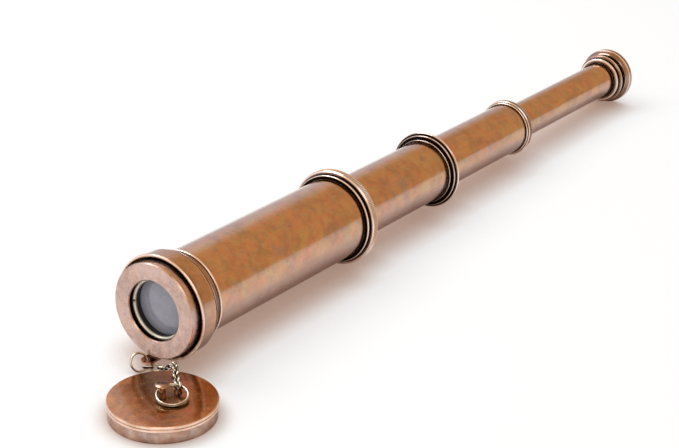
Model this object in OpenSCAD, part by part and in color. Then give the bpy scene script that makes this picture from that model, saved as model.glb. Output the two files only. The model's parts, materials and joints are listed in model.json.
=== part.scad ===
// Four-section hand spyglass, drawn out and lying on a flat surface, with its tethered lens cap.
// Millimetres. The surface is z = 0 and the eyepiece points along +X.
// Turned pieces are drawn in the tube's own frame: z runs along the optical axis from the
// objective's front face towards the eye, and x points down at the surface.

/* [Objective end] */
// Radius of the drum that the cap seats on
drum_r = 23.1; // [22.6:0.1:23.6]
// How far the drum stands out of the front collar
drum_out = 4.7; // [4:0.1:6]
// Whole length of the objective cell
cell_len = 14.3; // [13.8:0.1:16]
// Bore of the objective cell's mouth, and how far the lens bore behind it steps in
cell_bore_r = 14.6; // [14:0.1:15.5]
lens_step = 0.2; // [0.1:0.05:0.4]
// Depth of the retaining ring behind the front face
ring_depth = 2.9; // [2:0.1:3.4]
// Inner radius of the retaining ring
ring_in_r = 13.6; // [12.8:0.1:13.8]
// Width of the shoulder that the lenses seat on
lens_shoulder = 1.4; // [1:0.1:2.4]
// Edge thickness of the front lens
crown_edge = 1.3; // [1:0.1:1.6]
// Edge thickness of the rear lens
flint_edge = 3.6; // [3.4:0.1:3.8]
// How far the front collar's lip stands out past the drum
lip_out = 2.6; // [2.3:0.1:3.1]
// How far its plain band stands out past the drum
band_out = 1.9; // [1.5:0.1:2.3]
// Length of the front collar
front_collar_len = 17.5; // [16:0.1:20]
// Depth of the groove that takes the cap's skirt
groove_depth = 6.2; // [5.6:0.1:6.6]
// Radial width of that groove
groove_w = 1.4; // [1.3:0.1:1.6]

/* [Tubes] */
// Outer diameter of the barrel
barrel_d = 42; // [41.6:0.1:42.6]
// Length of the barrel tube
barrel_len = 128; // [124:1:134]
// Outer diameters of the three draws
draw_1_d = 33.3; // [33:0.1:33.8]
draw_2_d = 28.4; // [28:0.1:28.8]
draw_3_d = 20.8; // [20.4:0.1:21.2]
// Bare length of each draw when it is out
draw_1_show = 79.3; // [70:0.1:82]
draw_2_show = 82.8; // [74:0.1:85]
draw_3_show = 109.5; // [100:0.1:111]
// Wall of the barrel
barrel_wall = 0.9; // [0.8:0.05:1.1]
// Wall of the draws
draw_wall = 0.7; // [0.6:0.05:0.8]

/* [Sliding fit] */
// Length of the guide bush in the barrel
bush_1_len = 18; // [14:1:20]
// Length of the guide bush in draw 1
bush_2_len = 16; // [12:1:18]
// Length of the guide bush in draw 2
bush_3_len = 14; // [12:1:16]
// Length of the stop ring on each draw
stop_len = 5.5; // [4:0.5:6.5]
// Wall of the stop rings
stop_wall = 1.2; // [1:0.1:1.4]
// Running clearance of a draw in its bush
slide_gap = 0.05; // [0.03:0.01:0.1]
// Clearance of a stop ring in the tube it runs in
stop_gap = 0.1; // [0.05:0.01:0.2]
// Gap left between two faces at the end of a stroke
end_gap = 0.2; // [0.1:0.1:0.4]
// Clearance of a fixed seat, such as a thread
seat_gap = 0.02; // [0.01:0.01:0.04]

/* [Collars] */
// Radius, socket depth and back wall of the knurled collar on the barrel
collar_1_r = 25; // [24.4:0.1:25.4]
collar_1_socket = 4.3; // [4:0.1:6]
collar_1_back = 2.2; // [1.8:0.1:3]
// Radius, socket depth and back wall of the collar on draw 1
collar_2_r = 21; // [20.4:0.1:21.6]
collar_2_socket = 3; // [2.6:0.1:4]
collar_2_back = 1.9; // [1.5:0.1:2.4]
// Radius, socket depth and back wall of the collar on draw 2
collar_3_r = 16.2; // [15.9:0.1:16.6]
collar_3_socket = 3; // [2.6:0.1:4]
collar_3_back = 1.8; // [1.4:0.1:2.2]
// Depth of the knurling
knurl_depth = 0.35; // [0.2:0.05:0.45]
// Spacing of the coarse knurl round collar 1
knurl_pitch_1 = 0.9; // [0.8:0.05:1.2]
// Spacing of the fine knurl round collar 3
knurl_pitch_3 = 0.75; // [0.7:0.05:1]

/* [Eyepiece] */
// Length of the eyecup
eyecup_len = 15.5; // [15:0.1:18]
// Radius of the eyecup's flange
flange_r = 16.5; // [16.2:0.1:17]
// Thickness of the flange's edge
flange_edge = 3.1; // [2.6:0.1:3.6]
// Depth that the draw enters the eyecup
eyecup_socket = 4; // [3.4:0.1:4.4]
// Radius and edge thickness of the eye lens
eye_lens_r = 8; // [7.6:0.1:8.4]
eye_lens_edge = 1.6; // [1.4:0.1:2]
// Radius of the eye hole and depth of the dish round it
eye_hole_r = 4.6; // [4:0.1:5.4]
dish_depth = 6.5; // [5.6:0.1:7]
// Length of the eyepiece tube
eyepiece_len = 34; // [30:1:40]
// Length of the tube that carries the erecting lenses
erector_len = 46; // [40:1:52]
// Wall of the eyepiece and erector tubes
inner_wall = 0.8; // [0.7:0.1:1]
// Edge thickness of the small lenses
small_lens_edge = 1.4; // [1.2:0.1:1.8]
// Radius of the hole in the two stops
stop_hole_r = 3.2; // [2.4:0.1:4]

/* [Lens cap] */
// Height of the cap
cap_h = 8.6; // [8:0.1:9.4]
// How far the cap's rim stands out past its skirt, and the rim's height
cap_rim_out = 0.55; // [0.45:0.05:0.8]
cap_rim_h = 3; // [2.4:0.1:3.6]
// Wall of the skirt and thickness of the top
cap_wall = 0.9; // [0.8:0.05:1]
cap_top = 1.2; // [1:0.1:1.6]
// Clearance of the skirt round the drum
cap_gap = 0.15; // [0.1:0.01:0.2]
// Radius and height of the post
post_r = 1.5; // [1.3:0.1:1.8]
post_h = 6; // [5:0.1:7]
// Radius and thickness of the post's head
head_r = 3.25; // [2.8:0.1:3.6]
head_h = 1.4; // [1.2:0.1:1.8]

/* [Tether] */
// Thickness and width of the chain lug
lug_t = 1; // [0.9:0.1:1.1]
lug_w = 6; // [5:0.1:7]
// Hole in the lug, and how far it lies in front of the drum's face
lug_hole_r = 1.15; // [1.1:0.05:1.3]
lug_reach = 1.3; // [1:0.1:2]
// Mean radius and wire radius of the jump ring
jump_r = 4.2; // [4:0.1:4.4]
jump_wire = 0.5; // [0.45:0.05:0.6]
// Pitch, half width and wire radius of the chain links
link_pitch = 3.4; // [3.2:0.1:3.5]
link_half_w = 1.5; // [1.4:0.05:1.6]
link_wire = 0.45; // [0.4:0.05:0.5]
// Slack between two links
link_gap = 0.14; // [0.1:0.01:0.16]
// Mean radius of the split ring and radius of its wire
split_r = 6.9; // [6.7:0.1:7.4]
split_wire = 0.4; // [0.35:0.05:0.5]

/* [Hidden] */
$fn = 64;

LINK_COUNT = 14;

// Radii of the objective end and of the cap
lip_r = drum_r + lip_out;
band_r = drum_r + band_out;
lens_bore_r = cell_bore_r - lens_step;
cap_rim_r = drum_r + cap_gap + cap_wall + cap_rim_out;

// Radii of the tubes
barrel_r = barrel_d / 2;
barrel_in = barrel_r - barrel_wall;
draw_1_r = draw_1_d / 2;
draw_2_r = draw_2_d / 2;
draw_3_r = draw_3_d / 2;
draw_1_in = draw_1_r - draw_wall;
draw_2_in = draw_2_r - draw_wall;
draw_3_in = draw_3_r - draw_wall;
optic_r = draw_3_in - seat_gap;

// Stations along the optical axis, from the objective's front face
barrel_front = cell_len;
barrel_back = barrel_front + barrel_len;
collar_1_front = barrel_back - collar_1_socket;
collar_1_end = barrel_back + collar_1_back;
collar_2_front = collar_1_end + draw_1_show;
draw_1_back = collar_2_front + collar_2_socket;
collar_2_end = draw_1_back + collar_2_back;
collar_3_front = collar_2_end + draw_2_show;
draw_2_back = collar_3_front + collar_3_socket;
collar_3_end = draw_2_back + collar_3_back;
eyecup_front = collar_3_end + draw_3_show;
draw_3_back = eyecup_front + eyecup_socket;
eyecup_end = eyecup_front + eyecup_len;
bush_1_front = barrel_back - bush_1_len;
bush_2_front = draw_1_back - bush_2_len;
bush_3_front = draw_2_back - bush_3_len;
draw_1_front = bush_1_front - end_gap - stop_len;
draw_2_front = bush_2_front - end_gap - stop_len;
draw_3_front = bush_3_front - end_gap - stop_len;
eyepiece_front = draw_3_back - eyepiece_len;

// Knurled bands
knurl_front = collar_1_front + 2.9;
knurl_len = 3;
knurl_back = knurl_front + knurl_len;
flange_back = eyecup_end - 0.6;

// The tubes rest on the knurled collar and the flange, so the axis falls towards the eye
tilt = atan((collar_1_r - flange_r) / (flange_back - knurl_back));
axis_z = collar_1_r * cos(tilt) + knurl_back * sin(tilt);

// Point in the part's frame, measured from below the objective's face, of one in the tube's frame
function from_axis(down, side, s) = [s * cos(tilt) - down * sin(tilt), side,
                                     axis_z - s * sin(tilt) - down * cos(tilt)];
function polar(r, a) = [r * cos(a), r * sin(a), 0];
function smooth(t) = let (c = min(max(t, 0), 1)) c * c * (3 - 2 * c);

// Jump ring: it hangs in the lug's hole, facing the side that the photograph is taken from
lug_roll = 5;
lug_mid_r = cap_rim_r + 0.1 + lug_t / 2;
lug_hole = from_axis(lug_mid_r * cos(lug_roll), lug_mid_r * sin(lug_roll), -lug_reach);
jump_az = -110;
jump_el = 26;
jump_h = [-sin(jump_az), cos(jump_az), 0];
jump_v = [-sin(jump_el) * cos(jump_az), -sin(jump_el) * sin(jump_az), cos(jump_el)];
jump_at_lug = -6;
jump_at_link = -48;
function jump_dir(a) = jump_h * cos(a) + jump_v * sin(a);
function jump_tangent(a) = jump_v * cos(a) - jump_h * sin(a);
jump_centre = lug_hole - jump_r * jump_dir(jump_at_lug);
jump_link = jump_centre + jump_r * jump_dir(jump_at_link);

// Split ring: it leans on the cap, low on the near side
split_tilt = 10;
split_high_az = 41;
split_link_az = 13;
split_post_az = 116;
split_lift = (split_r + split_wire) * sin(split_tilt) + 2 * split_wire * cos(split_tilt);
split_z = cap_h + split_lift + 0.02;
split_link_z = split_z + split_r * sin(split_tilt) * cos(split_link_az - split_high_az);

// Chain: heights run level on the surface, climb over the cap's rim, then rise to the split ring
link_half_l = link_pitch / 2 + link_wire + link_gap / 2;
link_rest = link_half_w * sin(45) + link_wire;
chain_floor = link_rest + 0.1;
chain_cap = cap_h + link_rest + 0.35;
climb_from = 2;
climb_links = 6;
rise_from = LINK_COUNT - 3;
chain_start_z = jump_link.z;
chain_end_z = split_link_z;
function chain_z(k) = chain_start_z + (chain_floor - chain_start_z) * min(k / 2, 1)
    + (chain_cap - chain_floor) * smooth((k - climb_from) / climb_links)
    + (chain_end_z - chain_cap) * smooth((k - rise_from) / (LINK_COUNT - rise_from));
// Headings over the surface, in degrees from +X: the chain leaves the jump ring towards the near side,
// swings round to the cap, and eases back a little as it meets the split ring
head_first = -52;
head_turn = -86;
head_back = 8;
ease_links = 4;
function link_az(k) = head_first + head_turn * smooth(k / (climb_from + climb_links))
    + head_back * smooth((k - LINK_COUNT + ease_links) / ease_links);
function link_rise(k) = chain_z(k) - chain_z(k - 1);
function link_el(k) = asin(link_rise(k) / link_pitch);
function link_dir(k) = [cos(link_el(k)) * cos(link_az(k)), cos(link_el(k)) * sin(link_az(k)),
                        sin(link_el(k))];
function link_roll(k) = (k % 2 == 1 ? -45 : 45) + 35 * smooth((k - rise_from) / (LINK_COUNT - rise_from));
chain_start = jump_link - (jump_wire + link_wire / 2 - link_gap / 2 + link_gap) * link_dir(1);
// Meeting point behind link k, so chain_joint(0) is where the first link hangs on the jump ring
function chain_joint(k) = k == 0 ? [chain_start.x, chain_start.y, chain_start_z]
    : chain_joint(k - 1) + link_pitch * link_dir(k);
function link_mid(k) = (chain_joint(k - 1) + chain_joint(k)) / 2;
// Middle of a link's end wire, which the next piece turns on
function link_end(k) = chain_joint(k) + (link_wire + link_gap / 2) * link_dir(k);
function link_cross(k) = let (r = link_roll(k), e = link_el(k), a = link_az(k),
                              x = -sin(r) * sin(e), y = cos(r), z = sin(r) * cos(e))
    [x * cos(a) - y * sin(a), x * sin(a) + y * cos(a), z];

// The split ring runs between the straight sides of the last link
split_hang = link_half_w + 0.1;
split_link = link_end(LINK_COUNT) - split_hang * link_dir(LINK_COUNT);
split_centre = [split_link.x, split_link.y, split_z] - polar(split_r, split_link_az);
post_off = split_r - split_wire - post_r - 0.7;
cap_centre = [split_centre.x, split_centre.y, 0] + polar(post_off, split_post_az);

// The origin is under the middle of the whole part's box
x_low = cap_centre.x - cap_rim_r;
x_high = eyecup_end * cos(tilt) + (flange_r - 0.6) * sin(tilt);
y_low = cap_centre.y - cap_rim_r;
y_high = lip_r;
origin = [(x_low + x_high) / 2, (y_low + y_high) / 2, 0];

function cell_seat_r() = drum_r + seat_gap;
// Points of an arc about [cx, cy] in a turned outline
function arc(cx, cy, r, from, to, n = 6) =
    [for (i = [0:n]) [cx + r * cos(from + (to - from) * i / n), cy + r * sin(from + (to - from) * i / n)]];
// How far a curve of radius big sinks at radius r
function sag(big, r) = big - sqrt(big * big - r * r);
// Outline points of a spherical face of radius big, from the axis out to r or back
function face(big, r, s, n = 10) = [for (i = [0:n]) [r * i / n, s + sag(big, r * i / n)]];
function flip(points) = [for (i = [len(points) - 1:-1:0]) points[i]];

module placed() {
    translate(-origin)
        children();
}

module on_axis(s = 0) {
    placed()
        translate([0, 0, axis_z])
            rotate([0, 90 + tilt, 0])
                translate([0, 0, s])
                    children();
}

module turned(points) {
    rotate_extrude()
        polygon(points);
}

// Plain tube or bush from one station to another
module tube(out_r, in_r, from, to) {
    on_axis()
        turned([[in_r, from], [out_r, from], [out_r, to], [in_r, to]]);
}

// Band of straight knurling, with one ridge straight below the axis
module knurl_band(r, in_r, pitch, from, to) {
    n = round(2 * PI * r / pitch);
    translate([0, 0, from])
        linear_extrude(to - from)
            difference() {
                polygon([for (i = [0:2 * n - 1]) (r - knurl_depth * (i % 2))
                    * [cos(180 * i / n), sin(180 * i / n)]]);
                circle(r = in_r);
            }
}

// Lens with a front face bulging to the objective and a back face bulging to the eye
module lens(r, front_big, back_big, edge_from, edge_to) {
    front = [for (p = face(front_big, r, 0)) [p.x, edge_from - sag(front_big, r) + p.y]];
    back = [for (p = face(back_big, r, 0)) [p.x, edge_to + sag(back_big, r) - p.y]];
    on_axis()
        turned(concat(front, flip(back)));
}

// Objective end

crown_front_big = 62;
crown_back_big = 52;
lens_r = lens_bore_r - 0.1;
lens_seat = cell_len - 2.3;
flint_front = lens_seat - flint_edge;
crown_front = flint_front - crown_edge;

module objective_cell() {
    bevel = 0.5;
    color([0.72, 0.52, 0.42])
        on_axis()
            turned([[cell_bore_r + bevel, 0], [drum_r - bevel, 0], [drum_r, bevel], [drum_r, cell_len],
                    [lens_bore_r - lens_shoulder, cell_len], [lens_bore_r - lens_shoulder, lens_seat],
                    [lens_bore_r, lens_seat], [lens_bore_r, ring_depth - 0.1],
                    [cell_bore_r, ring_depth - 0.1], [cell_bore_r, bevel]]);
}

module objective_crown() {
    color([0.62, 0.62, 0.68, 0.45])
        lens(lens_r, crown_front_big, crown_back_big, crown_front, flint_front);
}

module objective_flint() {
    cement = 0.05;
    front = [for (p = face(crown_back_big, lens_r, 0))
        [p.x, flint_front + cement + sag(crown_back_big, lens_r) - p.y]];
    color([0.62, 0.62, 0.68, 0.45])
        on_axis()
            turned(concat(front, [[lens_r, lens_seat], [0, lens_seat]]));
}

module objective_ring() {
    slot_w = 1.2;
    slot_deep = 1;
    ring_back = crown_front - sag(crown_front_big, lens_r) + sag(crown_front_big, ring_in_r) - seat_gap;
    color([0.82, 0.8, 0.72])
        on_axis()
            difference() {
                turned([[ring_in_r + 0.4, ring_depth], [lens_bore_r - seat_gap, ring_depth],
                        [lens_bore_r - seat_gap, ring_back], [ring_in_r, ring_back],
                        [ring_in_r, ring_depth + 0.4]]);
                translate([-slot_w / 2, -cell_bore_r, ring_depth - 0.1])
                    cube([slot_w, 2 * cell_bore_r, slot_deep + 0.1]);
            }
}

collar_front = drum_out;
collar_back = collar_front + front_collar_len;

module front_collar() {
    groove_r = cell_seat_r() + groove_w;
    groove_back = collar_front + groove_depth;
    lip_w = 1.6;
    band_back = collar_front + 9.9;
    neck_r = barrel_r + 0.9;
    color([0.62, 0.4, 0.22])
        on_axis()
            turned(concat(
                [[groove_r, collar_front]],
                arc(lip_r - lip_w / 2, collar_front + lip_w / 2, lip_w / 2, -90, 90),
                [[band_r, collar_front + lip_w], [band_r, band_back - 0.4], [band_r - 0.4, band_back]],
                [for (i = [1:8]) [band_r - 0.4 + (neck_r - band_r + 0.4) * smooth(i / 8),
                                  band_back + (collar_back - 1.2 - band_back) * i / 8]],
                arc(neck_r - 0.1, collar_back - 0.6, 0.6, -80, 90),
                [[barrel_r + seat_gap, collar_back], [barrel_r + seat_gap, barrel_front],
                 [cell_seat_r(), barrel_front], [cell_seat_r(), groove_back], [groove_r, groove_back]]));
}

module barrel_tube() {
    color([0.63, 0.42, 0.24])
        tube(barrel_r, barrel_in, barrel_front, barrel_back);
}

// Flat tab brazed to the lip's edge, with a hole for the jump ring
module chain_lug() {
    tab_in = lug_mid_r - lug_t / 2;
    root = collar_front;
    foot_len = 2.4;
    foot_h = tab_in - cell_seat_r() - groove_w;
    color([0.55, 0.36, 0.18])
        on_axis()
            rotate([0, 0, lug_roll])
                translate([tab_in, 0, 0])
                    rotate([0, 90, 0])
                        difference() {
                            union() {
                                translate([-root, -lug_w / 2, 0])
                                    cube([root + lug_reach, lug_w, lug_t]);
                                translate([-root, -lug_w / 2, -foot_h])
                                    cube([foot_len, lug_w, foot_h + lug_t / 2]);
                                translate([lug_reach, 0, 0])
                                    cylinder(r = lug_w / 2, h = lug_t);
                            }
                            translate([lug_reach, 0, -0.5])
                                cylinder(r = lug_hole_r, h = lug_t + 1);
                        }
}

// Collars and bushes

// Knurled screw collar: bead, groove, then a knurled rim
module collar_1() {
    bore = draw_1_r + slide_gap;
    bead_r = barrel_r + 2;
    groove = barrel_r + 1.1;
    color([0.6, 0.4, 0.24])
        on_axis() {
            turned(concat(
                [[barrel_r + seat_gap, collar_1_front], [barrel_r + 1, collar_1_front]],
                arc(bead_r - 0.7, collar_1_front + 0.7, 0.7, -70, 90),
                [[groove, collar_1_front + 1.4], [groove, collar_1_front + 2.2],
                 [collar_1_r - 0.7, collar_1_front + 2.2], [collar_1_r - 0.1, knurl_front],
                 [collar_1_r - knurl_depth - 0.1, knurl_front], [collar_1_r - knurl_depth - 0.1, knurl_back],
                 [collar_1_r - 1, collar_1_end], [bore, collar_1_end], [bore, barrel_back],
                 [barrel_r + seat_gap, barrel_back]]));
            knurl_band(collar_1_r, collar_1_r - 1.2, knurl_pitch_1, knurl_front, knurl_back);
        }
}

// Plain collar with two beads
module collar_2() {
    bore = draw_2_r + slide_gap;
    neck = draw_1_r + 0.9;
    bead = neck + 1.5;
    color([0.5, 0.34, 0.22])
        on_axis()
            turned(concat(
                [[draw_1_r + seat_gap, collar_2_front]],
                arc(neck - 0.5, collar_2_front + 0.5, 0.5, -90, 90),
                [[neck - 0.3, collar_2_front + 1.1], [bead - 0.5, collar_2_front + 1.3]],
                arc(bead, collar_2_front + 1.9, 0.6, -90, 60),
                [[bead, collar_2_front + 2.5], [collar_2_r - 1, collar_2_front + 2.7]],
                arc(collar_2_r - 0.9, collar_2_front + 3.7, 0.9, -80, 70),
                [[collar_2_r - 1.4, collar_2_end], [bore, collar_2_end], [bore, draw_1_back],
                 [draw_1_r + seat_gap, draw_1_back]]));
}

// Narrow collar with a finely knurled bead
module collar_3() {
    bore = draw_3_r + slide_gap;
    rim_front = collar_3_front + 1.6;
    rim_back = collar_3_end - 0.8;
    color([0.5, 0.34, 0.22])
        on_axis() {
            turned(concat(
                [[draw_2_r + seat_gap, collar_3_front]],
                arc(draw_2_r + 0.5, collar_3_front + 0.5, 0.5, -90, 90),
                [[draw_2_r + 0.4, collar_3_front + 1.1], [collar_3_r - 0.6, collar_3_front + 1.2],
                 [collar_3_r - 0.1, rim_front], [collar_3_r - knurl_depth - 0.05, rim_front],
                 [collar_3_r - knurl_depth - 0.05, rim_back], [collar_3_r - 1, collar_3_end],
                 [bore, collar_3_end], [bore, draw_2_back], [draw_2_r + seat_gap, draw_2_back]]));
            knurl_band(collar_3_r, collar_3_r - 0.9, knurl_pitch_3, rim_front, rim_back);
        }
}

module guide_bush(in_r, tube_in, from, to) {
    color([0.72, 0.58, 0.32])
        tube(tube_in - seat_gap, in_r + slide_gap, from, to);
}

module guide_bush_1() { guide_bush(draw_1_r, barrel_in, bush_1_front, barrel_back); }
module guide_bush_2() { guide_bush(draw_2_r, draw_1_in, bush_2_front, draw_1_back); }
module guide_bush_3() { guide_bush(draw_3_r, draw_2_in, bush_3_front, draw_2_back); }

// Draws

module draw(r, from, to) {
    color([0.62, 0.41, 0.25])
        tube(r, r - draw_wall, from, to);
}

// Ring on the hidden end of a draw: it runs in the next tube and stops on that tube's bush
module stop_ring(r, runs_in, from) {
    color([0.72, 0.58, 0.32])
        on_axis() {
            turned([[r + seat_gap, from], [runs_in - stop_gap - 0.3, from],
                    [runs_in - stop_gap, from + 0.3], [runs_in - stop_gap, from + stop_wall],
                    [r + stop_wall / 2, from + stop_wall], [r + stop_wall / 2, from + stop_len - stop_wall],
                    [runs_in - stop_gap, from + stop_len - stop_wall], [runs_in - stop_gap, from + stop_len],
                    [r + seat_gap, from + stop_len]]);
        }
}

module draw_1_tube() { draw(draw_1_r, draw_1_front, draw_1_back); }
module draw_2_tube() { draw(draw_2_r, draw_2_front, draw_2_back); }
module draw_3_tube() { draw(draw_3_r, draw_3_front, draw_3_back); }
module draw_1_stop() { stop_ring(draw_1_r, barrel_in, draw_1_front); }
module draw_2_stop() { stop_ring(draw_2_r, draw_1_in, draw_2_front); }
module draw_3_stop() { stop_ring(draw_3_r, draw_2_in, draw_3_front); }

// Erector and eyepiece

cell_step = 0.6;
lens_small_r = optic_r - inner_wall + cell_step - 0.05;
lens_bed = 3;
small_lens_big = 34;
// How far a small lens's edge stands off the shoulder that its face rests on
small_lens_off = sag(small_lens_big, lens_small_r) - sag(small_lens_big, optic_r - inner_wall) + seat_gap;

// Tube with a lens seat in one or both ends
module optic_tube(from, to) {
    in_r = optic_r - inner_wall;
    seat = in_r + cell_step;
    on_axis()
        turned([[seat, from], [optic_r, from], [optic_r, to], [seat, to], [seat, to - lens_bed],
                [in_r, to - lens_bed], [in_r, from + lens_bed], [seat, from + lens_bed]]);
}

module small_lens(from) {
    color([0.7, 0.74, 0.78, 0.45])
        lens(lens_small_r, small_lens_big, small_lens_big, from, from + small_lens_edge);
}

module stop_disc(from) {
    color([0.12, 0.12, 0.12])
        tube(optic_r - inner_wall - 0.02, stop_hole_r, from, from + 0.8);
}

module erector_tube() {
    color([0.7, 0.56, 0.32])
        optic_tube(draw_3_front, draw_3_front + erector_len);
}

module erector_lens_front() { small_lens(draw_3_front + lens_bed - small_lens_edge - small_lens_off); }
module erector_stop() { stop_disc(draw_3_front + erector_len / 2); }
module erector_lens_back() { small_lens(draw_3_front + erector_len - lens_bed + small_lens_off); }

module eyepiece_tube() {
    color([0.7, 0.56, 0.32])
        optic_tube(eyepiece_front, draw_3_back);
}

module field_lens() { small_lens(eyepiece_front + lens_bed - small_lens_edge - small_lens_off); }
module field_stop() { stop_disc(eyepiece_front + eyepiece_len / 2); }

eye_lens_big = 22;
eye_lens_back = draw_3_back + eye_lens_edge;

// Flat-backed lens between the eyepiece tube and the eyecup's shoulder
module eye_lens() {
    color([0.7, 0.74, 0.78, 0.45])
        on_axis()
            turned(concat([for (p = face(eye_lens_big, eye_lens_r, 0))
                [p.x, draw_3_back - sag(eye_lens_big, eye_lens_r) + p.y]],
                [[eye_lens_r, eye_lens_back], [0, eye_lens_back]]));
}

// Turned eyepiece end: bead, groove, step and a wide flange with a dished back
module eyecup() {
    neck = draw_3_r + 0.9;
    bead = draw_3_r + 2.2;
    step = draw_3_r + 4;
    flange_front = flange_back - flange_edge;
    pocket = eye_lens_r + 0.05;
    dish_front = eyecup_end - dish_depth;
    dish_r = flange_r - 2.4;
    color([0.5, 0.35, 0.23])
        on_axis()
            turned(concat(
                [[draw_3_r + seat_gap, eyecup_front], [neck, eyecup_front], [neck + 0.2, eyecup_front + 1.4]],
                arc(bead, eyecup_front + 2.4, 0.7, -90, 90),
                [[neck + 0.4, eyecup_front + 3.4], [neck + 0.4, eyecup_front + 4.4],
                 [step - 0.6, eyecup_front + 4.6]],
                arc(step - 0.4, eyecup_front + 5.5, 0.7, -70, 70),
                [[step - 0.9, eyecup_front + 6.6], [step - 0.7, flange_front - 2],
                 [step + 0.4, flange_front - 1]],
                arc(flange_r - 0.8, flange_front + 0.2, 0.8, -70, 0),
                [[flange_r, flange_back], [flange_r - 0.6, eyecup_end]],
                [for (i = [0:8]) [eye_hole_r + (dish_r - eye_hole_r) * sqrt(1 - pow(i / 8, 2)),
                                  eyecup_end - (eyecup_end - dish_front) * i / 8]],
                [[eye_hole_r, eye_lens_back], [pocket, eye_lens_back], [pocket, draw_3_back],
                 [draw_3_r + seat_gap, draw_3_back]]));
}

// Tether

module ring_wire(r, wire, angle = 360) {
    rotate_extrude(angle = angle)
        translate([r, 0])
            circle(r = wire);
}

module jump_ring() {
    color([0.45, 0.42, 0.36])
        placed()
            translate(jump_centre)
                rotate([0, 90 - jump_el, jump_az])
                    ring_wire(jump_r, jump_wire);
}

// Link lying along x: two half rings joined by straight wires
module link_shape() {
    straight = link_half_l - link_half_w;
    for (side = [-1, 1]) {
        translate([side * straight, 0, 0])
            rotate([0, 0, -90 * side])
                ring_wire(link_half_w, link_wire, 180);
        translate([-straight, side * link_half_w, 0])
            rotate([0, 90, 0])
                cylinder(r = link_wire, h = 2 * straight);
    }
}

module chain_link(k) {
    color([0.45, 0.42, 0.36])
        placed()
            translate(link_mid(k))
                rotate([0, 0, link_az(k)])
                    rotate([0, -link_el(k), 0])
                        rotate([link_roll(k), 0, 0])
                            link_shape();
}

// Two turns of wire, drawn as rings that just merge
module split_ring() {
    color([0.5, 0.48, 0.44])
        placed()
            translate(split_centre)
                rotate([0, 0, split_high_az])
                    rotate([0, -split_tilt, 0])
                        for (side = [-1, 1])
                            translate([0, 0, side * split_wire * 0.96])
                                ring_wire(split_r, split_wire);
}

// Lens cap

module lens_cap() {
    skirt_in = drum_r + cap_gap;
    skirt_r = skirt_in + cap_wall;
    rim_low = cap_h - cap_rim_h;
    rim_bead = cap_rim_h / 2;
    color([0.6, 0.4, 0.26])
        placed()
            translate(cap_centre)
                difference() {
                    turned(concat(
                        [[skirt_in, 0], [skirt_r - 0.3, 0], [skirt_r, 0.3], [skirt_r, rim_low],
                         [cap_rim_r - 0.3, rim_low], [cap_rim_r, rim_low + 0.3],
                         [cap_rim_r, rim_low + rim_bead - 0.3], [cap_rim_r - 0.25, rim_low + rim_bead],
                         [cap_rim_r, rim_low + rim_bead + 0.3], [cap_rim_r, cap_h - 0.4],
                         [cap_rim_r - 0.4, cap_h], [0, cap_h], [0, cap_h - cap_top],
                         [skirt_in, cap_h - cap_top]]));
                    cylinder(r = post_r + seat_gap, h = 2 * cap_h);
                }
}

// Post riveted through the cap, with a mushroom head
module cap_post() {
    rivet_h = 0.5;
    foot = cap_h - cap_top;
    top = cap_h + post_h;
    color([0.55, 0.38, 0.26])
        placed()
            translate(cap_centre)
                turned(concat(
                    [[0, foot - rivet_h], [post_r + 0.8, foot - rivet_h], [post_r + 0.8, foot],
                     [post_r, foot], [post_r, top], [head_r - 0.3, top], [head_r, top + 0.3]],
                    [for (i = [0:6]) [head_r * cos(15 * i), top + head_h - 0.7 + 0.7 * sin(15 * i)]]));
}

objective_cell();
objective_crown();
objective_flint();
objective_ring();
front_collar();
barrel_tube();
chain_lug();
collar_1();
guide_bush_1();
draw_1_tube();
draw_1_stop();
collar_2();
guide_bush_2();
draw_2_tube();
draw_2_stop();
collar_3();
guide_bush_3();
draw_3_tube();
draw_3_stop();
erector_tube();
erector_lens_front();
erector_stop();
erector_lens_back();
eyepiece_tube();
field_lens();
field_stop();
eye_lens();
eyecup();
jump_ring();
for (k = [1:LINK_COUNT]) chain_link(k);
split_ring();
lens_cap();
cap_post();
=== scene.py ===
import json
import math

import bmesh
import bpy
from mathutils import Matrix, Vector


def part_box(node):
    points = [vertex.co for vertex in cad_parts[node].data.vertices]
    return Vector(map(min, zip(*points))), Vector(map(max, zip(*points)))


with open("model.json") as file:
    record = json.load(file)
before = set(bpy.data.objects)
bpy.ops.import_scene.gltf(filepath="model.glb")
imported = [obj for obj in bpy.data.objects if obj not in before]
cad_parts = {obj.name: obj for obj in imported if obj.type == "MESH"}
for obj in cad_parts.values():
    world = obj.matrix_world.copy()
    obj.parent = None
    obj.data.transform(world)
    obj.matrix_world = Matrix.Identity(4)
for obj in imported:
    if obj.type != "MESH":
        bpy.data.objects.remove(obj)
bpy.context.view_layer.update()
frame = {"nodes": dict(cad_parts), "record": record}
NODES = frame["nodes"]
RECORD = frame["record"]

MM = 0.001

# Axis of the tubes, from the middle of the drum's face, and place of the cap on the floor
MOUNTS = {m["name"]: m for m in RECORD["mounts"]}
AXIS = -Vector(MOUNTS["cap_seat"]["axis"]).normalized()
SEAT_STATION = 2.4 * MM
FRONT = Vector(MOUNTS["cap_seat"]["pos_m"]) - SEAT_STATION * AXIS
TILT = math.asin(-AXIS.z)
cap_low, cap_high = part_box("lens_cap")
CAP = Vector(((cap_low.x + cap_high.x) / 2, (cap_low.y + cap_high.y) / 2, 0))


def linear(r, g, b):
    """Linear colour of an sRGB colour given from 0 to 255."""
    def one(v):
        v /= 255
        return v / 12.92 if v <= 0.04045 else ((v + 0.055) / 1.055) ** 2.4
    return (one(r), one(g), one(b), 1)


def darker(colour, share):
    return [c * share for c in colour[:3]] + [1]


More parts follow.
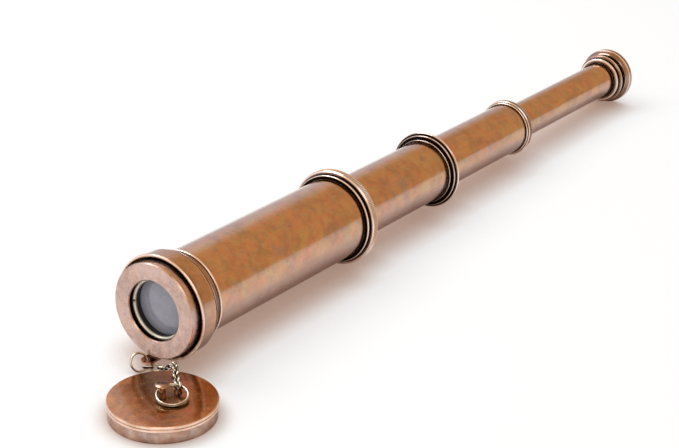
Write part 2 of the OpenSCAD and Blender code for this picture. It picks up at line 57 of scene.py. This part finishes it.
class Net:
    """A material's node tree with one Principled shader."""

    def __init__(self, name):
        self.mat = bpy.data.materials.new(name)
        self.mat.use_nodes = True
        self.tree = self.mat.node_tree
        self.tree.nodes.clear()
        self.out = self.add("ShaderNodeOutputMaterial")
        self.shader = self.add("ShaderNodeBsdfPrincipled")
        self.link(self.shader.outputs[0], self.out.inputs["Surface"])
        self.object = self.add("ShaderNodeTexCoord").outputs["Object"]

    def add(self, kind, **props):
        n = self.tree.nodes.new(kind)
        for k, v in props.items():
            setattr(n, k, v)
        return n

    def link(self, a, b):
        self.tree.links.new(a, b)

    def put(self, socket, value):
        if isinstance(value, bpy.types.NodeSocket):
            self.link(value, socket)
        else:
            socket.default_value = value

    def set(self, **values):
        for k, v in values.items():
            self.put(self.shader.inputs[k.replace("_", " ")], v)

    def math(self, op, a, b=0.0, clamp=False):
        n = self.add("ShaderNodeMath", operation=op, use_clamp=clamp)
        self.put(n.inputs[0], a)
        self.put(n.inputs[1], b)
        return n.outputs[0]

    def times(self, a, b, clamp=False):
        return self.math("MULTIPLY", a, b, clamp)

    def most(self, a, b):
        return self.math("MAXIMUM", a, b)

    def span(self, v, low, high, to_low=0.0, to_high=1.0):
        """Map v from low..high to to_low..to_high, and hold it at the ends."""
        n = self.add("ShaderNodeMapRange", clamp=True)
        for i, x in enumerate((v, low, high, to_low, to_high)):
            self.put(n.inputs[i], x)
        return n.outputs[0]

    def mix(self, fac, a, b):
        n = self.add("ShaderNodeMix", data_type="RGBA")
        self.put(n.inputs[0], fac)
        self.put(n.inputs[6], a)
        self.put(n.inputs[7], b)
        return n.outputs[2]

    def ramp(self, fac, *stops):
        n = self.add("ShaderNodeValToRGB")
        e = n.color_ramp.elements
        while len(e) < len(stops):
            e.new(0.5)
        for s, (at, colour) in zip(e, stops):
            s.position = at
            s.color = colour
        self.put(n.inputs[0], fac)
        return n.outputs[0]

    def noise(self, vector, scale, detail=4.0, rough=0.55, distort=0.0):
        n = self.add("ShaderNodeTexNoise")
        for k, v in (("Vector", vector), ("Scale", scale), ("Detail", detail), ("Roughness", rough),
                     ("Distortion", distort)):
            self.put(n.inputs[k], v)
        return n.outputs[0]

    def place(self, vector, shift=(0, 0, 0), turn=(0, 0, 0)):
        n = self.add("ShaderNodeMapping")
        self.put(n.inputs["Vector"], vector)
        n.inputs["Location"].default_value = shift
        n.inputs["Rotation"].default_value = turn
        return n.outputs[0]

    def parts(self, vector):
        n = self.add("ShaderNodeSeparateXYZ")
        self.put(n.inputs[0], vector)
        return n.outputs

    def vector(self, x, y, z):
        n = self.add("ShaderNodeCombineXYZ")
        for i, v in enumerate((x, y, z)):
            self.put(n.inputs[i], v)
        return n.outputs[0]

    def bump(self, height, distance, strength=1.0):
        n = self.add("ShaderNodeBump")
        self.put(n.inputs["Height"], height)
        n.inputs["Distance"].default_value = distance
        n.inputs["Strength"].default_value = strength
        self.link(n.outputs[0], self.shader.inputs["Normal"])

    def edges(self, radius, low, high):
        """1 along sharp edges, 0 elsewhere."""
        bevel = self.add("ShaderNodeBevel", samples=6)
        bevel.inputs["Radius"].default_value = radius
        dot = self.add("ShaderNodeVectorMath", operation="DOT_PRODUCT")
        self.link(bevel.outputs[0], dot.inputs[0])
        self.link(self.add("ShaderNodeNewGeometry").outputs["Normal"], dot.inputs[1])
        return self.span(self.math("SUBTRACT", 1.0, dot.outputs["Value"]), low, high)

    def hollows(self, distance):
        """1 in grooves and corners, 0 in the open."""
        ao = self.add("ShaderNodeAmbientOcclusion", samples=6)
        ao.inputs["Distance"].default_value = distance
        return self.span(ao.outputs["AO"], 0.35, 0.9, 1.0, 0.0)

    def turned(self, along="tube"):
        """Station, radius and angle about the axis of the tubes, or of the cap, in metres and radians."""
        if along == "tube":
            base = Matrix.Rotation(-TILT, 4, "Y") @ Matrix.Translation(-FRONT)
            turn = (0, -TILT, 0)
            p = self.place(self.object, turn=turn, shift=base.translation)
            x, y, z = self.parts(p)
        else:
            p = self.place(self.object, shift=-CAP)
            y, z, x = self.parts(p)
        r = self.math("SQRT", self.math("ADD", self.times(y, y), self.times(z, z)))
        return x, r, self.math("ARCTAN2", z, y), p

    def hoops(self, s, r, a, per_metre, per_radian):
        """Fine lines round the axis, as a lathe leaves them."""
        place = self.vector(self.times(s, per_metre), self.times(a, per_radian), self.times(r, per_metre))
        return self.noise(place, 1.0, 3, 0.6)


# Colours of the brass, and the tint of its reflections at a grazing angle
OCHRE = linear(204, 160, 100)
COPPER = linear(212, 134, 88)
MAUVE = linear(176, 140, 128)
UMBER = linear(112, 74, 50)
# Near black for soiling and painted shade in hollows and grooves, pale peach for edge wear and painted
# highlights, blush and ashen for the painted reflection of the floor
SHADE_AND_GRIME = linear(22, 13, 10)
PEACH = linear(252, 222, 204)
BLUSH = linear(218, 180, 168)
ASHEN = linear(158, 132, 122)
EDGE_TINT = (0.5, 0.42, 0.38, 1.0)

# Palettes, each with its dark, middle, warm and cool colour
AGED = (UMBER, COPPER, OCHRE, MAUVE)
BANDED = (UMBER, linear(184, 124, 84), linear(200, 140, 84), MAUVE)
ROSE = (linear(118, 84, 70), linear(206, 168, 150), linear(214, 184, 174), linear(182, 160, 158))
DARKER = (linear(44, 28, 20), linear(112, 78, 60), linear(134, 94, 70), linear(104, 80, 72))
CAP_TOP = (linear(84, 50, 34), linear(226, 138, 80), linear(216, 154, 88), linear(180, 130, 108))
BROWN = (linear(72, 50, 40), linear(156, 114, 88), linear(168, 124, 90), linear(140, 108, 96))


def underside(net, along, s, r):
    """Mask of the painted floor reflection: 1 where a tube faces down, or on the cap's skirt."""
    if along == "tube":
        down = net.parts(net.add("ShaderNodeNewGeometry").outputs["Normal"])[2]
        return net.span(down, 0.1, -0.3)
    return net.times(net.span(s, 5.2 * MM, 5.6 * MM, 1.0, 0.0), net.span(r, 23.2 * MM, 23.6 * MM))


def aged_brass(name, colours=AGED, along="tube", rough=0.2, cloud=32, streak=0.5, wear=1.0, grime_and_shade=1.0,
               rings=0.0, edge=0.22 * MM, spots=0.5, recess=1.6 * MM, coat=1.0, under=0.0,
               highlight=None, black_shade=None):
    """Old lacquered brass: clouded patina, fine lines, pale edges where the brass wears through, painted
    highlights on the beads, a painted floor reflection underneath, and soiling with painted shade in the
    grooves.

    cloud is the number of large clouds in a metre. The last two arguments are masks: one of painted
    highlights, one of black zones that are mostly painted shade.
    """
    net = Net(name)
    s, r, a, p = net.turned(along)
    dark, mid, warm, cool = colours

    # Patina, from clouds of about 30 mm down to spots of about 4 mm
    big = net.noise(p, cloud, 5, 0.6, 0.6)
    cells = net.noise(p, cloud * 2.3, 4, 0.6, 0.3)
    patches = net.noise(p, cloud * 4, 4, 0.6, 0.4)
    smoke = net.noise(p, cloud * 5, 3, 0.7)
    fine = net.noise(p, cloud * 7, 5, 0.65, 0.3)
    colour = net.ramp(big, (0.32, cool), (0.42, mid), (0.52, warm), (0.6, mid), (0.68, cool))
    colour = net.mix(net.span(patches, 0.42, 0.6), colour, net.ramp(fine, (0.4, mid), (0.6, warm)))
    colour = net.mix(net.span(fine, 0.5, 0.7, 0.0, 0.5), colour, cool)
    colour = net.mix(net.span(cells, 0.5, 0.74, 0.0, spots), colour, dark)
    colour = net.mix(net.span(smoke, 0.36, 0.54, 0.32, 0.0), colour, dark)
    # Painted reflection of the pale floor: blush where a tube faces down, ashen on the cap's skirt
    low = net.times(underside(net, along, s, r), net.span(patches, 0.35, 0.65, under, 0.5 * under))
    colour = net.mix(low, colour, BLUSH if along == "tube" else ASHEN)

    # Lines along the tube or round it, and small dark specks
    lines = net.noise(net.vector(net.times(s, 30), net.times(a, 34), 0.0), 1.0, 5, 0.7)
    marks = net.mix(rings, lines, net.hoops(s, r, a, 5200, 1.2))
    colour = net.mix(net.span(marks, 0.45, 0.75, 0.0, 0.5 * streak), colour, dark)
    specks = net.noise(p, 900, 2, 0.5)
    colour = net.mix(net.span(specks, 0.66, 0.74, 0.0, 0.5), colour, dark)

    # Edge wear, soiling and painted shade in the hollows, painted highlights on the beads and black painted
    # shade in the grooves
    wear_and_highlight = net.times(net.edges(edge, 0.02, 0.2), net.span(fine, 0.3, 0.5, 0.5, 1.0))
    wear_and_highlight = net.times(wear_and_highlight, wear, clamp=True)
    # Soiling and painted shade: darker towards near black wherever AO finds a hollow
    grime_and_shade_mask = net.times(net.hollows(recess), grime_and_shade, clamp=True)
    colour = net.mix(grime_and_shade_mask, colour, SHADE_AND_GRIME)
    metal = 1.0
    bare = grime_and_shade_mask
    # Painted highlights on the beads: pale peach and less metallic, so they stay pale under any light
    if highlight:
        painted_highlight = highlight(net, s, r)
        wear_and_highlight = net.most(wear_and_highlight, painted_highlight)
        metal = net.span(painted_highlight, 0.0, 1.0, 1.0, 0.45)
    # Black painted shade in the grooves, and black inside the objective cell's mouth
    if black_shade:
        black = black_shade(net, s, r)
        colour = net.mix(black, colour, SHADE_AND_GRIME)
        bare = net.most(grime_and_shade_mask, black)
    colour = net.mix(wear_and_highlight, colour, PEACH)

    gloss = net.span(fine, 0.3, 0.75, rough * 0.7, rough * 1.5)
    gloss = net.math("ADD", gloss, net.times(grime_and_shade_mask, 0.35))
    lacquer = net.span(bare, 0.0, 0.9, coat, 0.0)
    net.set(Base_Color=colour, Metallic=metal, Roughness=gloss, Coat_Weight=lacquer, Coat_Roughness=0.1,
            Coat_IOR=2.0, Specular_Tint=EDGE_TINT)
    height = net.math("ADD", net.times(marks, 0.5), net.times(fine, 0.7))
    net.bump(net.math("ADD", height, net.times(big, 1.2)), 0.07 * MM, 0.5)
    return net.mat


def wire_metal():
    """Antique wire with a painted highlight where it faces up, and painted shade, nearly black, on its
    sides and in the hollows.
    """
    net = Net("antique_wire")
    n = net.noise(net.object, 520, 3, 0.6)
    fine = net.noise(net.object, 1600, 3, 0.6)
    up = net.parts(net.add("ShaderNodeTexCoord").outputs["Normal"])[2]
    # Painted highlight where the wire faces up, and painted shade, nearly black, on its sides
    painted_highlight = net.span(net.math("ADD", up, net.times(n, 0.9)), 0.5, 0.85)
    highlight_colour = net.mix(net.span(fine, 0.4, 0.6), linear(255, 252, 242), linear(206, 196, 178))
    colour = net.mix(painted_highlight, linear(26, 19, 15), highlight_colour)
    # Painted shade in the hollows between the links
    colour = net.mix(net.hollows(1.4 * MM), colour, linear(10, 8, 7))
    net.set(Base_Color=colour, Metallic=1.0, Roughness=net.span(fine, 0.3, 0.7, 0.14, 0.3))
    net.bump(fine, 0.04 * MM, 0.4)
    return net.mat


def pale_ring():
    """Turned pale metal, with painted shade on the side of the ring that faces the lens."""
    net = Net("pale_ring")
    s, r, a, _ = net.turned()
    hoops = net.hoops(s, r, a, 6000, 1.0)
    colour = net.mix(net.span(hoops, 0.4, 0.8, 0.0, 0.5), linear(255, 250, 232), linear(214, 202, 176))
    # Painted shade on the side of the ring that faces the lens
    colour = net.mix(net.span(s, 3.6 * MM, 4.4 * MM), colour, linear(46, 40, 34))
    net.set(Base_Color=colour, Metallic=0.35, Roughness=0.3)
    net.bump(hoops, 0.04 * MM, 0.3)
    return net.mat


def lens_glass(name, tint, rough=0.03, body=0.6):
    """Coated lens with a faint film that carries the tint, and some dust. body is how clear it is."""
    net = Net(name)
    film = net.noise(net.object, 160, 3, 0.6)
    dust = net.noise(net.object, 1500, 2, 0.5)
    colour = net.mix(net.span(film, 0.4, 0.7), tint, darker(tint, 0.88))
    colour = net.mix(net.span(dust, 0.64, 0.7, 0.0, 0.5), colour, linear(205, 204, 210))
    net.set(Base_Color=colour, Roughness=rough, IOR=1.52, Transmission_Weight=body, Coat_Weight=0.3,
            Coat_Roughness=0.02)
    return net.mat


def matt(name, colour, rough):
    net = Net(name)
    n = net.noise(net.object, 300, 3, 0.6)
    net.set(Base_Color=net.mix(net.span(n, 0.35, 0.7), colour, darker(colour, 0.7)), Roughness=rough)
    net.bump(n, 0.05 * MM, 0.3)
    return net.mat


def line(net, v, low, high, soft=0.15):
    """1 between two places in millimetres along v, 0 outside them."""
    v = net.times(v, 1 / MM)
    return net.times(net.span(v, low - soft, low + soft), net.span(v, high - soft, high + soft, 1.0, 0.0))


def zones(*rows, amount=1.0):
    """Mask of turned zones, each given in millimetres as two stations and two radii."""
    def mask(net, s, r):
        total = None
        for s_low, s_high, r_low, r_high in rows:
            one = net.times(line(net, s, s_low, s_high, 0.1), line(net, r, r_low, r_high, 0.06))
            total = one if total is None else net.most(total, one)
        return net.times(total, amount)
    return mask


def cap_rim(net, z, r):
    """The cap's two beads with painted highlights and a dark line between them, and patches of painted
    sheen on its skirt.
    """
    highlight_patchiness = net.span(net.noise(net.object, 110, 4, 0.6), 0.35, 0.6, 0.5, 0.95)
    # Painted highlights on the two beads, and patches of painted sheen on the skirt
    beads = net.most(line(net, z, 5.6, 6.9), line(net, z, 7.3, 8.5))
    beads = net.times(net.times(net.span(r, 23.9 * MM, 24.2 * MM), beads), highlight_patchiness)
    sheen_patches = net.span(net.noise(net.object, 150, 5, 0.65), 0.38, 0.62, 0.4, 0.0)
    skirt = net.times(line(net, z, -1, 5.3), net.times(net.span(r, 23.6 * MM, 23.8 * MM), sheen_patches))
    return net.most(beads, skirt)


def mouth(net, s, r):
    """Black inside the mouth of the objective cell, and painted shade behind the drum's edge."""
    inside = net.times(net.span(r, 14.65 * MM, 14.85 * MM, 1.0, 0.0), net.span(s, 0.3 * MM, 0.6 * MM))
    return net.most(inside, net.span(s, 4.2 * MM, 5.6 * MM))


# Painted highlights on the beads and black painted shade in the grooves of the turned pieces
HIGHLIGHT_AMOUNT = 0.95
FRONT_HIGHLIGHTS = zones((3.9, 5.2, 24.9, 26), (14.2, 14.75, 24, 26), (21.1, 22.4, 21, 23), amount=HIGHLIGHT_AMOUNT)
FRONT_SHADE = zones((6.2, 6.6, 24, 26), (14.9, 15.4, 23, 26), (20.3, 20.9, 21, 23))
COLLAR_1_HIGHLIGHTS = zones((138.1, 139.4, 22.6, 24), (139.95, 140.8, 24, 25), (141, 143.9, 24.76, 25.2),
                       (143.9, 144.4, 24.1, 25), amount=HIGHLIGHT_AMOUNT)
COLLAR_1_SHADE = zones((137, 138.15, 20, 23), (139.45, 140.1, 21, 24.2), (140.7, 144, 23, 24.73))
COLLAR_2_HIGHLIGHTS = zones((225.3, 226.3, 19.2, 20.2), (226.9, 228.3, 20.6, 21.2), (223.9, 224.6, 17.4, 18),
                       amount=HIGHLIGHT_AMOUNT)
COLLAR_2_SHADE = zones((223, 225.2, 16, 17.35), (224.8, 225.3, 17, 19.2), (226.3, 226.9, 19, 20.4))
COLLAR_3_HIGHLIGHTS = zones((311.5, 312.6, 14.8, 15.5), (313.1, 315.5, 16.08, 16.4), (312.6, 313.1, 15.6, 16.2),
                       amount=HIGHLIGHT_AMOUNT)
COLLAR_3_SHADE = zones((311, 313, 14, 14.7), (313.1, 315.5, 15, 16.05))
EYECUP_HIGHLIGHTS = zones((426.4, 428.9, 12.3, 13.5), (430.9, 431.9, 14.3, 14.9), (437.4, 438.4, 15.6, 17),
                     amount=HIGHLIGHT_AMOUNT)
EYECUP_SHADE = zones((425, 427.2, 10, 12.1), (429, 430.4, 10, 13), (432.4, 436.2, 12, 14.2))

COLLAR = {"rings": 0.7, "wear": 0.8, "grime_and_shade": 1.3, "recess": 3 * MM, "rough": 0.18}

# Materials by the record's slots, and finer ones for single nodes
MATERIALS = {
    "barrel_brass": aged_brass("barrel_brass", rings=0.25, cloud=34, spots=0.42, under=0.9),
    "draw_brass": aged_brass("draw_brass", cloud=28, streak=0.8, spots=0.42, under=0.9),
    "bezel_brass": aged_brass("bezel_brass", ROSE, rings=0.6, rough=0.28, spots=0.45, grime_and_shade=0.7, streak=0.6,
                              edge=0.5 * MM, coat=0.4, cloud=34, black_shade=mouth),
    "cap_brass": aged_brass("cap_brass", CAP_TOP, along="cap", rings=0.6, cloud=40, rough=0.22, streak=0.9,
                            coat=0.7, under=0.95, highlight=cap_rim),
    "inner_brass": aged_brass("inner_brass", rings=1.0, rough=0.3, spots=0.2),
    "ring_metal": pale_ring(),
    "chain_metal": wire_metal(),
    "black_stop": matt("black_stop", (0.02, 0.02, 0.02, 1), 0.6),
    # The objective's pale grey-violet is partly the coating's own tint and partly a painted reflection, for
    # the glass is nearly opaque
    "objective_glass": lens_glass("objective_glass", linear(160, 160, 174), rough=0.12, body=0.05),
    "lens_glass": lens_glass("lens_glass", linear(200, 204, 208), body=0.85),
}
SPECIAL = {
    "front_collar": aged_brass("front_brass", BANDED, highlight=FRONT_HIGHLIGHTS, black_shade=FRONT_SHADE, grime_and_shade=1.3),
    "collar_1": aged_brass("collar_1_brass", DARKER, highlight=COLLAR_1_HIGHLIGHTS, black_shade=COLLAR_1_SHADE, **COLLAR),
    "collar_2": aged_brass("collar_2_brass", DARKER, highlight=COLLAR_2_HIGHLIGHTS, black_shade=COLLAR_2_SHADE, **COLLAR),
    "collar_3": aged_brass("collar_3_brass", DARKER, highlight=COLLAR_3_HIGHLIGHTS, black_shade=COLLAR_3_SHADE, **COLLAR),
    "eyecup": aged_brass("eyecup_brass", BROWN, highlight=EYECUP_HIGHLIGHTS, black_shade=EYECUP_SHADE, **COLLAR),
    "cap_post": aged_brass("post_brass", BROWN, along="cap", edge=0.3 * MM, recess=2 * MM),
}
for part in RECORD["subparts"]:
    mesh = NODES[part["node"]].data
    mesh.materials.clear()
    mesh.materials.append(SPECIAL.get(part["node"]) or MATERIALS[part["material_slot"]])


# Floor, light and camera
FLOOR_HALF = 4.0
SHADOW_REACH = 22 * MM
SHADOW = linear(200, 170, 154)
WHITE = (1, 1, 1, 1)
# Share of the floor's own white in the picture, and how much of that share reflections show
SEEN_WHITE = 0.58
REFLECTED_WHITE = 0.28

# The room as reflections show it, near and far, and the plain light that it gives
WARM_ROOM = (0.72, 0.49, 0.26, 1)
PALE_PAPER = (0.9, 0.88, 0.94, 1)
ROOM_LIGHT = (0.6, 0.585, 0.57, 1)
PAPER_FROM = 0.26
PAPER_TO = 0.64

SENSOR_MM = 36
LENS_MM = 97.36
LOOK = (0.7473, 0.5150, -0.4200)
RIGHT = (0.5769, -0.8164, 0.0255)
# From the middle of the drum's face to the camera, in millimetres
CAMERA_FROM_FRONT = (-556.56, -484.09, 385.2108)


def put_in_scene(name, data):
    obj = bpy.data.objects.new(name, data)
    bpy.context.scene.collection.objects.link(obj)
    return obj


def stage_floor():
    bm = bmesh.new()
    bmesh.ops.create_grid(bm, x_segments=1, y_segments=1, size=FLOOR_HALF)
    mesh = bpy.data.meshes.new("floor")
    bm.to_mesh(mesh)
    bm.free()
    floor = put_in_scene("floor", mesh)
    net = Net("floor")
    ao = net.add("ShaderNodeAmbientOcclusion", samples=8)
    ao.inputs["Distance"].default_value = SHADOW_REACH
    near = net.mix(net.span(ao.outputs["AO"], 0.4, 0.9), SHADOW, WHITE)
    net.set(Base_Color=near, Roughness=0.9, Specular_IOR_Level=0.1)
    path = net.add("ShaderNodeLightPath")
    seen = net.most(path.outputs["Is Camera Ray"], path.outputs["Is Transmission Ray"])
    seen = net.most(seen, net.times(path.outputs["Is Glossy Ray"], REFLECTED_WHITE))
    white = net.add("ShaderNodeEmission")
    net.link(near, white.inputs["Color"])
    blend = net.add("ShaderNodeMixShader")
    net.link(net.times(seen, SEEN_WHITE), blend.inputs[0])
    net.link(net.shader.outputs[0], blend.inputs[1])
    net.link(white.outputs[0], blend.inputs[2])
    net.link(blend.outputs[0], net.out.inputs["Surface"])
    mesh.materials.append(net.mat)


def studio_world():
    """A room that is warm above and on the near side, with pale paper swept up on the far side."""
    world = bpy.data.worlds.new("studio")
    world.use_nodes = True
    tree = world.node_tree
    tree.nodes.clear()
    new = tree.nodes.new
    link = tree.links.new
    out = new("ShaderNodeOutputWorld")
    coord = new("ShaderNodeTexCoord")
    split = new("ShaderNodeSeparateXYZ")
    link(coord.outputs["Generated"], split.inputs[0])
    side = new("ShaderNodeMapRange")
    side.interpolation_type = "SMOOTHSTEP"
    side.inputs["From Min"].default_value = PAPER_FROM
    side.inputs["From Max"].default_value = PAPER_TO
    link(split.outputs["Y"], side.inputs[0])
    ramp = new("ShaderNodeValToRGB")
    ramp.color_ramp.elements[0].color = WARM_ROOM
    ramp.color_ramp.elements[1].color = PALE_PAPER
    link(side.outputs[0], ramp.inputs[0])
    path = new("ShaderNodeLightPath")
    tint = new("ShaderNodeMix")
    tint.data_type = "RGBA"
    tint.inputs[6].default_value = ROOM_LIGHT
    link(path.outputs["Is Glossy Ray"], tint.inputs[0])
    link(ramp.outputs[0], tint.inputs[7])
    light = new("ShaderNodeBackground")
    link(tint.outputs[2], light.inputs["Color"])
    white = new("ShaderNodeBackground")
    white.inputs["Color"].default_value = WHITE
    blend = new("ShaderNodeMixShader")
    link(path.outputs["Is Camera Ray"], blend.inputs[0])
    link(light.outputs[0], blend.inputs[1])
    link(white.outputs[0], blend.inputs[2])
    link(blend.outputs[0], out.inputs["Surface"])
    bpy.context.scene.world = world


def softbox(name, at, size, watts):
    """Rectangular lamp that points at the middle of the floor."""
    data = bpy.data.lights.new(name, "AREA")
    data.shape = "RECTANGLE"
    data.size, data.size_y = size
    data.energy = watts
    light = put_in_scene(name, data)
    light.location = at
    light.rotation_euler = (-Vector(at)).to_track_quat("-Z", "Y").to_euler()


def photo_camera():
    data = bpy.data.cameras.new("camera")
    data.sensor_width = SENSOR_MM
    data.lens = LENS_MM
    data.clip_start = 10 * MM
    camera = put_in_scene("camera", data)
    look = Vector(LOOK).normalized()
    right = Vector(RIGHT)
    right = (right - right.dot(look) * look).normalized()
    up = right.cross(look)
    place = FRONT + Vector(CAMERA_FROM_FRONT) * MM
    camera.matrix_world = Matrix.Translation(place) @ Matrix((right, up, -look)).transposed().to_4x4()
    bpy.context.scene.camera = camera


stage_floor()
studio_world()
softbox("key", at=(-0.15, 0.75, 1.0), size=(0.9, 0.7), watts=9)
softbox("fill", at=(-0.9, -0.6, 0.9), size=(0.8, 0.8), watts=2.5)
photo_camera()
bpy.context.scene.view_settings.view_transform = "Standard"
